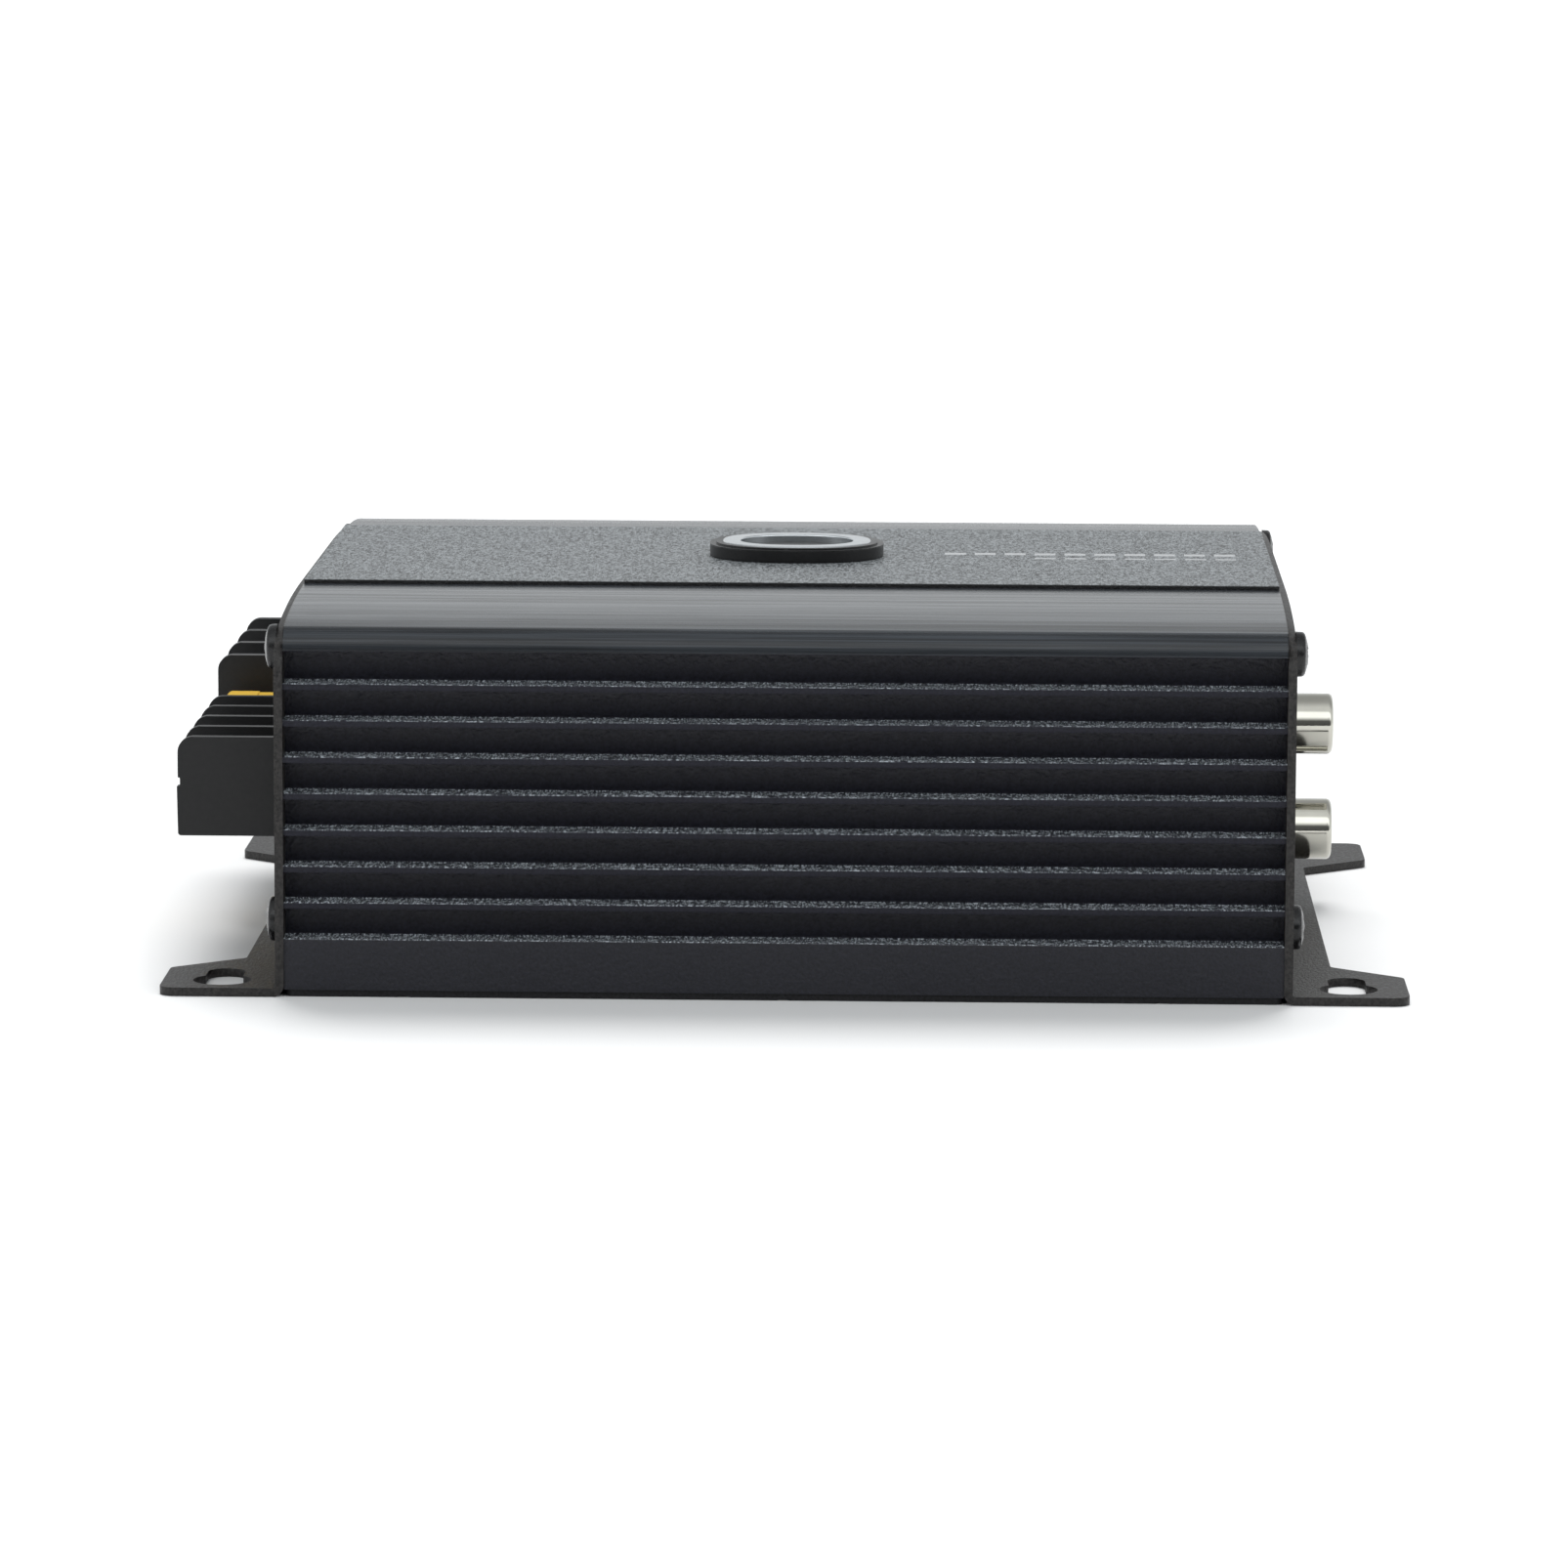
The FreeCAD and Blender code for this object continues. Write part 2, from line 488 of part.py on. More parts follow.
SP_FLOOR, SP_BAR = 22.4, 0.8
PW_FLOOR, PW_BAR = 23.4, 1.0
sp_block, _ = terminal_block(SP_D0, SP_PITCH, SP_N, SP_WALL, SP_TOP, SP_FLOOR, SP_BAR, 1.75, 3.4)
pw_block, _ = terminal_block(PW_D0, PW_PITCH, PW_N, PW_WALL, PW_TOP, PW_FLOOR, PW_BAR, 2.0, 5.0)
save("speaker_terminal_block", sp_block)
save("power_terminal_block", pw_block)
sp_c = [SP_D0 + SP_WALL + k * SP_PITCH + (SP_PITCH - SP_WALL) / 2 for k in range(SP_N)]
pw_c = [PW_D0 + PW_WALL + k * PW_PITCH + (PW_PITCH - PW_WALL) / 2 for k in range(PW_N)]
save("speaker_contact_bars", *[contact(c, 7.7, 3.4, SP_FLOOR, SP_BAR, 1.80) for c in sp_c])
save("power_contact_bars", *[contact(c, 10.6, 5.0, PW_FLOOR, PW_BAR, 2.05) for c in pw_c])
for i, c in enumerate(sp_c):
    zw = SP_FLOOR + SP_BAR + 0.05
    save("speaker_clamp_washer_%d" % (i + 1), clamp_washer(c, zw, 7.2, 0.8, 1.82))
    save("speaker_terminal_screw_%d" % (i + 1), terminal_screw(c, zw + 0.85, 3.1, 2.2, 1.75, 4.7, 1.75))
for i, c in enumerate(pw_c):
    zw = PW_FLOOR + PW_BAR + 0.05
    save("power_clamp_washer_%d" % (i + 1), clamp_washer(c, zw, 9.8, 1.0, 2.07))
    save("power_terminal_screw_%d" % (i + 1), terminal_screw(c, zw + 1.05, 4.2, 2.8, 2.0, 5.6, 2.3))

# ---------------------------------------------------------------- fuse and its holder
holder = box(BX, BX + 8.5, FUSE_D - 3.9, FUSE_D + 3.9, PCB_Z[1], FUSE_Z + 11.4)
collar = box(XW - 0.9, BX, FUSE_D - 3.3, FUSE_D + 3.3, FUSE_Z - 10.8, FUSE_Z + 10.8)
holder = holder.fuse(collar).removeSplitter()
for s in (-1, 1):
    holder = holder.cut(box(XW - 2, BX + 7.6, FUSE_D - 0.75, FUSE_D + 0.75, FUSE_Z + s * 4.9 - 3.0, FUSE_Z + s * 4.9 + 3.0))
holder = holder.cut(box(XW - 2, XW + 0.2, FUSE_D - 2.8, FUSE_D + 2.8, FUSE_Z - 9.8, FUSE_Z + 9.8))
clips = []
for s in (-1, 1):
    z0 = FUSE_Z + s * 4.9
    clip = box(BX + 0.2, BX + 7.5, FUSE_D - 0.7, FUSE_D - 0.38, z0 - 2.5, z0 + 2.5)
    clip = clip.fuse([box(BX + 0.2, BX + 7.5, FUSE_D + 0.38, FUSE_D + 0.7, z0 - 2.5, z0 + 2.5),
                      box(BX + 7.1, BX + 7.5, FUSE_D - 0.7, FUSE_D + 0.7, z0 - 2.5, z0 + 2.5)]).removeSplitter()
    clips.append(clip)
save("fuse_holder", holder)
save("fuse_clips", *clips)

fx0, fx1 = XW - 12.3, XW - 0.1     # head of the fuse, seated in the collar
fhead = prism([(fx0, FUSE_Z - 9.45, 0.8), (fx0 + 4.4, FUSE_Z - 9.45, 0.05), (fx0 + 4.4, FUSE_Z - 9.3, 0.05), (fx1, FUSE_Z - 9.3, 0.3),
               (fx1, FUSE_Z + 9.3, 0.3), (fx0 + 4.4, FUSE_Z + 9.3, 0.05), (fx0 + 4.4, FUSE_Z + 9.45, 0.05), (fx0, FUSE_Z + 9.45, 0.8)],
              xz(FUSE_D - 2.5), V(0, 5.0, 0))
fhead = fhead.cut(box(fx0 - 1, fx0 + 0.5, FUSE_D - 1.6, FUSE_D + 1.6, FUSE_Z - 3.4, FUSE_Z + 3.4))
blade = []
t2 = 0.33
for s in (-1, 1):
    z0 = FUSE_Z + s * 4.9
    blade.append(prism([(fx0 + 3.2, z0 - 2.4, 0), (BX + 6.8, z0 - 2.4, 0.9), (BX + 6.8, z0 + 2.4, 0.9), (fx0 + 3.2, z0 + 2.4, 0)], xz(FUSE_D - t2), V(0, 2 * t2, 0)))
link = box(fx0 + 3.2, fx0 + 4.6, FUSE_D - t2, FUSE_D + t2, FUSE_Z - 4.9, FUSE_Z + 4.9)
element = blade[0].fuse([blade[1], link]).removeSplitter()
window = box(fx0 + 2.6, fx1 - 1.6, FUSE_D - 1.5, FUSE_D + 1.5, FUSE_Z - 2.0, FUSE_Z + 2.0)
fuse_body = fhead.cut(window).cut(element)
save("fuse_body", fuse_body)
save("fuse_element", element)
save("end_plate_wiring", left)

# ---------------------------------------------------------------- input end
XR = HX
for z in RCA_Z:
    right = right.cut(cyl(IX - 1, RCA_D, z, 5.05, 4, XP))
shells, insul, centres = [], [], []
rca_body = box(IX - 13.0, IX, RCA_D - 5.6, RCA_D + 5.6, PCB_Z[1], RCA_Z[0] + 5.8)
for z in RCA_Z:
    rca_body = rca_body.fuse(cyl(IX - 1, RCA_D, z, 4.95, SHEET + 1.2, XP))
rca_body = rca_body.removeSplitter()
for z in RCA_Z:
    x0, x1 = IX - 5.0, XR + RCA_OUT
    tube = Part.makeCylinder(RCA_R, x1 - (XR + 0.2), V(XR + 0.2, Y(RCA_D), z), XP)
    end_edge = [e for e in tube.Edges if abs(e.BoundBox.XMin - x1) < 1e-6]
    tube = tube.makeFillet(0.7, end_edge)
    root = cyl(x0, RCA_D, z, RCA_R - 0.35, XR + 0.3 - x0, XP)
    tube = tube.fuse(root).removeSplitter()
    bore = cyl(x0 - 1, RCA_D, z, RCA_R - 0.6, 20, XP)
    tube = tube.cut(bore)
    lip = Part.makeCylinder(RCA_R - 0.6, 0.35, V(x1 - 0.35, Y(RCA_D), z), XP).cut(cyl(x1 - 1, RCA_D, z, RCA_R - 0.95, 4, XP))
    tube = tube.fuse(lip).removeSplitter()
    shells.append(tube)
    rca_body = rca_body.cut(cyl(x0 - 0.0, RCA_D, z, RCA_R - 0.35, 20, XP))
    ins = cyl(x0, RCA_D, z, RCA_R - 0.6, x1 - 0.9 - x0, XP)
    pocket = cyl(x1 - 3.2, RCA_D, z, 2.2, 5, XP)
    ins = ins.cut(pocket).cut(cyl(x0 - 1, RCA_D, z, 1.95, 20, XP))
    insul.append(ins)
    ctr = cyl(x0, RCA_D, z, 1.95, x1 - 3.4 - x0, XP).cut(cyl(x0 + 2.0, RCA_D, z, 1.62, 20, XP))
    for k in range(2):
        w = (0.28, 6) if k else (6, 0.28)
        ctr = ctr.cut(Part.makeBox(4.5, w[0], w[1], V(x1 - 3.4 - 4.4, Y(RCA_D) - w[0] / 2, z - w[1] / 2)))
    centres.append(ctr)
save("rca_housing", rca_body)
save("rca_shells", *shells)
save("rca_insulator_white", insul[0])
save("rca_insulator_red", insul[1])
save("rca_centre_contacts", *centres)

CTRL_Z = 12.8
KNOBS = {"gain": 21.0, "bass_boost": 35.0, "crossover": 49.0}
pots = []
for name, d in KNOBS.items():
    right = right.cut(cyl(IX - 1, d, CTRL_Z, 3.4, 4, XP))
    pot = box(IX - 9.0, IX - 0.9, d - 4.9, d + 4.9, PCB_Z[1], CTRL_Z + 5.2)
    pot = pot.fuse(cyl(IX - 1.5, d, CTRL_Z, 3.3, 1.25, XP)).removeSplitter()
    pot = pot.cut(cyl(IX - 6.0, d, CTRL_Z, 1.55, 8, XP))
    pots.append(pot)
    k = chamfer_cyl(IX + 0.0, d, CTRL_Z, 3.05, SHEET + 0.4, XP, 0.25)
    k = k.fuse(cyl(IX - 5.8, d, CTRL_Z, 1.5, 6.0, XP)).removeSplitter()
    k = k.cut(Part.makeBox(1.2, 0.9, 4.6, V(XR + 0.4 - 0.9, Y(d) - 0.45, CTRL_Z - 2.3)))
    k = k.cut(Part.makeCone(0.0, 0.5, 0.5, V(XR + 0.15, Y(d), CTRL_Z + 2.62), XP).common(Part.makeBox(1, 2, 0.4, V(XR + 0.1, Y(d) - 1, CTRL_Z + 2.42))))
    save("%s_knob" % name, k)
save("control_pot_bodies", *pots)

SW_D = 62.5
right = right.cut(box(IX - 1, XR + 1, SW_D - 3.9, SW_D + 3.9, CTRL_Z - 1.5, CTRL_Z + 1.5))
sw = box(IX - 7.0, IX - 0.3, SW_D - 6.2, SW_D + 6.2, PCB_Z[1], CTRL_Z + 3.2)
sw = sw.cut(box(IX - 3.2, IX + 1, SW_D - 3.9, SW_D + 3.9, CTRL_Z - 1.5, CTRL_Z + 1.5))
slider = box(IX - 3.0, XR + 1.3, SW_D - 1.6, SW_D + 1.6, CTRL_Z - 1.2, CTRL_Z + 1.2)
fe = [e for e in slider.Edges if abs(e.BoundBox.XMin - (XR + 1.3)) < 1e-6]
slider = slider.makeFillet(0.3, fe)
for k in (-0.8, 0.0, 0.8):
    slider = slider.cut(box(XR + 1.05, XR + 2, SW_D + k - 0.15, SW_D + k + 0.15, CTRL_Z - 2, CTRL_Z + 2))
save("crossover_switch_body", sw)
save("crossover_switch_slider", slider)

LEDS = (90.0, 94.5)
leds = []
for d in LEDS:
    right = right.cut(cyl(IX - 1, d, CTRL_Z, 1.55, 4, XP))
    led = cyl(IX - 4.0, d, CTRL_Z, 1.5, 4.6, XP).fuse(Part.makeSphere(1.5, V(IX + 0.6, Y(d), CTRL_Z)))
    led = led.fuse(cyl(IX - 4.6, d, CTRL_Z, 1.9, 1.0, XP)).removeSplitter()
    leds.append(led)
save("status_leds", *leds)

HL_D, HL_Z = 104.0, 12.4
right = right.cut(box(IX - 1, XR + 1, HL_D - 6.1, HL_D + 6.1, HL_Z - 4.1, HL_Z + 4.1))
hl = box(IX - 11.5, IX - 0.1, HL_D - 7.0, HL_D + 7.0, PCB_Z[1], HL_Z + 5.0)
hl = hl.fuse(box(IX - 1, XR + 0.35, HL_D - 6.0, HL_D + 6.0, HL_Z - 4.0, HL_Z + 4.0)).removeSplitter()
hl = hl.cut(box(IX - 9.5, XR + 1, HL_D - 5.0, HL_D + 5.0, HL_Z - 3.0, HL_Z + 3.0))
hl = hl.cut(box(IX - 5.5, XR + 1, HL_D - 1.6, HL_D + 1.6, HL_Z + 2.9, HL_Z + 3.6))
pins = []
for k in range(4):
    d = HL_D - 3.75 + 2.5 * k
    hl = hl.cut(box(IX - 12, IX - 9, d - 0.32, d + 0.32, HL_Z - 0.32, HL_Z + 0.32))
    p = box(IX - 12.4, IX - 4.6, d - 0.32, d + 0.32, HL_Z - 0.32, HL_Z + 0.32)
    p = p.fuse(box(IX - 12.4, IX - 11.76, d - 0.32, d + 0.32, PCB_Z[0] - 1.0, HL_Z + 0.32)).removeSplitter()
    pins.append(p)
save("high_level_input_socket", hl)
save("high_level_input_pins", *pins)
save("end_plate_input", right)

for name, s in (("wiring", -1), ("input", 1)):
    out = []
    for d in (BOSS_D, DEPTH - BOSS_D):
        for z in BOSS_Z:
            head = pan_head(s * HX, d, z, SCREW_HEAD_R, SCREW_HEAD_H, V(s, 0, 0), 17 + 31 * len(out) + (9 if s > 0 else 0))
            shank = cyl(s * (HX + 0.1), d, z, TAP_R, 9.0, V(-s, 0, 0))
            out.append(head.fuse(shank).removeSplitter())
    save("end_plate_screws_" + name, *out)

# ---------------------------------------------------------------- circuit board and parts
pcb = box(-PCB_X, PCB_X, PCB_D[0], PCB_D[1], PCB_Z[0], PCB_Z[1])
for x, d in STAND:
    pcb = pcb.cut(cyl(x, d, 0, 1.6, 10, ZP))
for c in sp_c + pw_c:
    pcb = pcb.cut(box(BX + 5.0, BX + 6.1, c - 1.6, c + 1.6, 0, 10))
for k in range(4):
    d = HL_D - 3.75 + 2.5 * k
    pcb = pcb.cut(box(IX - 12.5, IX - 11.6, d - 0.4, d + 0.4, 0, 10))
TR_X = (-39.0, -13.0, 13.0, 39.0)
legs_d = (12.3, DEPTH - 12.3)
for x in TR_X:
    for d in legs_d:
        for k in (-2.54, 0, 2.54):
            pcb = pcb.cut(cyl(x + k, d, 0, 0.62, 10, ZP))
save("main_circuit_board", pcb)
pscrews = []
for x, d in STAND:
    s = button_head(x, d, PCB_Z[1], 2.75, 1.9, ZP, 2.0).fuse(cyl(x, d, PCB_Z[1] - 4.2, TAP_R, 4.3, ZP)).removeSplitter()
    pscrews.append(s)
save("board_screws", *pscrews)


def to220(x, side):
    """Power transistor standing against the ledge."""
    f = (lambda d: d) if side == 0 else (lambda d: DEPTH - d)
    b = lambda x0, x1, d0, d1, z0, z1: box(x0, x1, min(f(d0), f(d1)), max(f(d0), f(d1)), z0, z1)
    tab = b(x - 5.1, x + 5.1, LEDGE_IN + 0.25, LEDGE_IN + 1.55, 17.6, 33.0)
    tab = tab.cut(cyl(x, f(LEDGE_IN - 1), 30.2, 1.8, 5, YP if side == 0 else YM))
    mold = b(x - 5.1, x + 5.1, LEDGE_IN + 0.9, LEDGE_IN + 4.7, 17.6, 26.8)
    s = tab.fuse(mold)
    for k in (-2.54, 0, 2.54):
        s = s.fuse(b(x + k - 0.38, x + k + 0.38, 12.05, 12.55, PCB_Z[0] - 1.2, 18.0))
        s = s.fuse(b(x + k - 0.65, x + k + 0.65, 12.05, 12.55, 14.6, 18.0))
    return s.removeSplitter()


save("power_supply_transistors", *[to220(x, 0) for x in TR_X])
save("output_transistors", *[to220(x, 1) for x in TR_X])
pads, bars, cscrews = [], [], []
for side in (0, 1):
    f = (lambda d: d) if side == 0 else (lambda d: DEPTH - d)
    lo = lambda d0, d1: (min(f(d0), f(d1)), max(f(d0), f(d1)))
    pad = box(-47, 47, *lo(LEDGE_IN, LEDGE_IN + 0.25), 17.2, 33.6)
    bar = box(-47, 47, *lo(LEDGE_IN + 4.7, LEDGE_IN + 6.2), 20.0, 33.0)
    ax = YM if side == 0 else YP
    for x in CLAMP_X:
        pad = pad.cut(cyl(x, f(LEDGE_IN + 3), CLAMP_Z, 1.7, 6, ax))
        bar = bar.cut(cyl(x, f(LEDGE_IN + 8), CLAMP_Z, 1.7, 6, ax))
        h = button_head(x, f(LEDGE_IN + 6.2), CLAMP_Z, 2.75, 1.9, V(0, 1 if side == 0 else -1, 0), 2.0)
        cscrews.append(h.fuse(cyl(x, f(LEDGE_IN + 6.3), CLAMP_Z, TAP_R, 9.2, ax)).removeSplitter())
    pads.append(pad)
    bars.append(bar)
save("transistor_pads", *pads)
save("transistor_clamp_bars", *bars)
save("clamp_bar_screws", *cscrews)


def can(x, d, r, h, z=PCB_Z[1]):
    s = cyl(x, d, z, r, h, ZP)
    top = [e for e in s.Edges if abs(e.BoundBox.ZMin - (z + h)) < 1e-6]
    s = s.makeFillet(0.8, top)
    groove = cyl(x, d, z + 1.8, r + 1, 1.0, ZP).cut(cyl(x, d, z + 1.5, r - 0.4, 2, ZP))
    s = s.cut(groove)
    for k in range(3):
        a = math.pi * k / 3
        v = Part.makeBox(r * 1.1, 0.25, 0.4, V(0, -0.125, 0))
        v.rotate(V(0, 0, 0), ZP, math.degrees(a * 2))
        v.translate(V(x, Y(d), z + h - 0.3))
        s = s.cut(v)
    return s


save("rail_capacitors", *[can(x, d, 8.0, 30.0) for x in (2.0, 21.0) for d in (52.0, 73.0)])
save("input_capacitors", *[can(x, d, 6.3, 25.0) for x, d in ((-45.5, 40.0), (-45.5, 56.0))])

tx, td = -21.0, 62.5
core = cyl(tx, td, 0, 13.0, 12.0, ZP).cut(cyl(tx, td, -1, 7.0, 14, ZP))
core.translate(V(0, 0, PCB_Z[1] + 2.2))
wind = []
for k in range(12):
    a = 30.0 * k
    turn = Part.makeBox(8.6, 3.2, 14.4, V(5.6, -1.6, 0)).cut(Part.makeBox(6.45, 8, 12.1, V(6.65, -4, 1.15)))
    turn.rotate(V(0, 0, 0), ZP, a)
    turn.translate(V(tx, Y(td), PCB_Z[1] + 1.0))
    wind.append(turn)
save("transformer_core", core)
save("transformer_winding", *wind)
chokes = []
for x, d in ((45.0, 33.5), (45.0, 58.0)):
    c = box(x - 9, x + 9, d - 9, d + 9, PCB_Z[1], PCB_Z[1] + 12.0)
    c = c.makeChamfer(2.0, [e for e in c.Edges if e.BoundBox.ZLength > 5])
    chokes.append(c.cut(cyl(x, d, PCB_Z[1] + 10.5, 6.0, 5, ZP)))
save("output_inductors", *chokes)
ics = [box(2, 12, 30, 37.5, PCB_Z[1], PCB_Z[1] + 2.4), box(18, 28, 30, 37.5, PCB_Z[1], PCB_Z[1] + 2.4),
       box(36, 44, 76, 82, PCB_Z[1], PCB_Z[1] + 1.8), box(36, 44, 92, 98, PCB_Z[1], PCB_Z[1] + 1.8), box(-36, -16, 90, 97, PCB_Z[1], PCB_Z[1] + 3.4)]
save("control_chips", *[b.makeChamfer(0.3, [e for e in b.Edges if abs(e.BoundBox.ZMin - b.BoundBox.ZMax) < 1e-6]) for b in ics])

for k, v in sorted(MADE.items()):
    print("%-28s solids %2d  volume %10.1f" % (k, v[0], v[1]))
print(len(MADE), "nodes")
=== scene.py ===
import bpy, bmesh, json, math
from mathutils import Vector, Matrix

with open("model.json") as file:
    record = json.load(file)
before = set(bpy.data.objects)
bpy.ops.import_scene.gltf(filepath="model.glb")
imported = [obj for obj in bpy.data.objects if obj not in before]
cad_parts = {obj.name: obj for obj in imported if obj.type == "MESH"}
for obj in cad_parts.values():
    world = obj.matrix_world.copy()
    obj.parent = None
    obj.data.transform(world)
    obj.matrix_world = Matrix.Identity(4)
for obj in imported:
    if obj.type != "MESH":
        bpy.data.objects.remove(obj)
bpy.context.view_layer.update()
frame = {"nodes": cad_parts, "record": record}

nodes = frame["nodes"]
scene = bpy.context.scene
MM = 0.001


# ------------------------------------------------------------------ node helpers
class Mat:
    def __init__(self, name):
        m = bpy.data.materials.new(name)
        m.use_nodes = True
        self.m, self.t = m, m.node_tree
        self.b = self.t.nodes["Principled BSDF"]
        self.tc = self.n("ShaderNodeTexCoord")

    def n(self, kind, **kw):
        x = self.t.nodes.new(kind)
        for k, v in kw.items():
            setattr(x, k, v)
        return x

    def l(self, a, b):
        self.t.links.new(a, b)

    def set(self, **kw):
        for k, v in kw.items():
            self.b.inputs[k.replace("_", " ")].default_value = v

    def mapping(self, scale=(1, 1, 1), rot=(0, 0, 0), loc=(0, 0, 0)):
        mp = self.n("ShaderNodeMapping")
        mp.inputs["Scale"].default_value = scale
        mp.inputs["Rotation"].default_value = rot
        mp.inputs["Location"].default_value = loc
        self.l(self.tc.outputs["Object"], mp.inputs["Vector"])
        return mp.outputs["Vector"]

    def noise(self, vec, scale, detail=3.0, rough=0.55, dist=0.0):
        x = self.n("ShaderNodeTexNoise")
        x.inputs["Scale"].default_value = scale
        x.inputs["Detail"].default_value = detail
        x.inputs["Roughness"].default_value = rough
        x.inputs["Distortion"].default_value = dist
        self.l(vec, x.inputs["Vector"])
        return x.outputs["Fac"]

    def voronoi(self, vec, scale, feature="F1", smooth=0.0):
        x = self.n("ShaderNodeTexVoronoi", feature=feature)
        x.inputs["Scale"].default_value = scale
        if feature == "SMOOTH_F1":
            x.inputs["Smoothness"].default_value = smooth
        self.l(vec, x.inputs["Vector"])
        return x.outputs["Distance"]

    def ramp(self, fac, stops, mode="LINEAR"):
        x = self.n("ShaderNodeValToRGB")
        cr = x.color_ramp
        cr.interpolation = mode
        while len(cr.elements) < len(stops):
            cr.elements.new(0.5)
        for e, (p, c) in zip(cr.elements, stops):
            e.position = p
            e.color = (c, c, c, 1) if isinstance(c, (int, float)) else (*c, 1)
        self.l(fac, x.inputs["Fac"])
        return x.outputs["Color"]

    def math(self, op, a, b=None, c=None, clamp=False):
        x = self.n("ShaderNodeMath", operation=op, use_clamp=clamp)
        for i, v in enumerate((a, b, c)):
            if v is None:
                continue
            if isinstance(v, (int, float)):
                x.inputs[i].default_value = v
            else:
                self.l(v, x.inputs[i])
        return x.outputs[0]

    def mix(self, fac, a, b):
        x = self.n("ShaderNodeMix", data_type="RGBA")
        for sock, v in ((x.inputs[0], fac), (x.inputs[6], a), (x.inputs[7], b)):
            if isinstance(v, (int, float)):
                sock.default_value = v
            elif isinstance(v, tuple):
                sock.default_value = (*v, 1)
            else:
                self.l(v, sock)
        return x.outputs[2]

    def mixf(self, fac, a, b):
        x = self.n("ShaderNodeMix", data_type="FLOAT")
        for sock, v in ((x.inputs[0], fac), (x.inputs[2], a), (x.inputs[3], b)):
            if isinstance(v, (int, float)):
                sock.default_value = v
            else:
                self.l(v, sock)
        return x.outputs[0]

    def bump(self, height, strength=0.3, dist=0.0002, normal=None):
        x = self.n("ShaderNodeBump")
        x.inputs["Strength"].default_value = strength
        x.inputs["Distance"].default_value = dist
        self.l(height, x.inputs["Height"])
        if normal is not None:
            self.l(normal, x.inputs["Normal"])
        return x.outputs["Normal"]

    def xyz(self):
        x = self.n("ShaderNodeSeparateXYZ")
        self.l(self.tc.outputs["Object"], x.inputs[0])
        return x.outputs

    def up(self):
        """How much the surface faces up, from -1 to 1."""
        g = self.n("ShaderNodeNewGeometry")
        x = self.n("ShaderNodeSeparateXYZ")
        self.l(g.outputs["True Normal"], x.inputs[0])
        return x.outputs[2]

    def step(self, v, a, b):
        x = self.n("ShaderNodeMapRange", interpolation_type="SMOOTHSTEP")
        x.inputs["From Min"].default_value = a
        x.inputs["From Max"].default_value = b
        self.l(v, x.inputs["Value"])
        return x.outputs["Result"]

    def to(self, sock, out):
        self.l(out, self.b.inputs[sock])
        return self


def paint(name, mat):
    o = nodes[name]
    o.data.materials.clear()
    o.data.materials.append(mat.m if isinstance(mat, Mat) else mat)


# ------------------------------------------------------------------ materials
def powder(name, base, warm=0.0, rough=0.5, grain=2600.0, bump=0.5, dist=0.00010, spec=0.5):
    """Fine texture powder coat: orange peel, tiny glints, faint dust."""
    k = Mat(name)
    flat = k.step(k.math("ABSOLUTE", k.up()), 0.3, 0.8)
    v, vf = k.mapping(), k.mapping((1.0, 0.35, 1.0))
    fine = k.mixf(flat, k.noise(v, grain, 2.0, 0.6), k.noise(vf, grain, 2.0, 0.6))
    peel = k.mixf(flat, k.noise(v, grain * 0.4, 2.0, 0.5), k.noise(vf, grain * 0.4, 2.0, 0.5))
    big = k.noise(k.mapping(), 60.0, 4.0, 0.6)
    h = k.math("ADD", fine, k.math("MULTIPLY", peel, 0.22))
    k.to("Normal", k.bump(h, bump, dist))
    dark = tuple(c * 0.25 for c in base)
    light = tuple(c * 2.3 for c in base)
    col = k.mix(k.ramp(fine, [(0.3, 0.0), (0.7, 1.0)]), dark, light)
    dust = k.ramp(big, [(0.35, 0.0), (0.75, 1.0)])
    col = k.mix(k.math("MULTIPLY", dust, 0.06), col, (0.05, 0.05, 0.052))
    k.to("Base Color", col)
    k.to("Roughness", k.mixf(k.ramp(fine, [(0.3, 0.0), (0.7, 1.0)]), rough - 0.06, rough + 0.08))
    k.set(Specular_IOR_Level=spec)
    return k


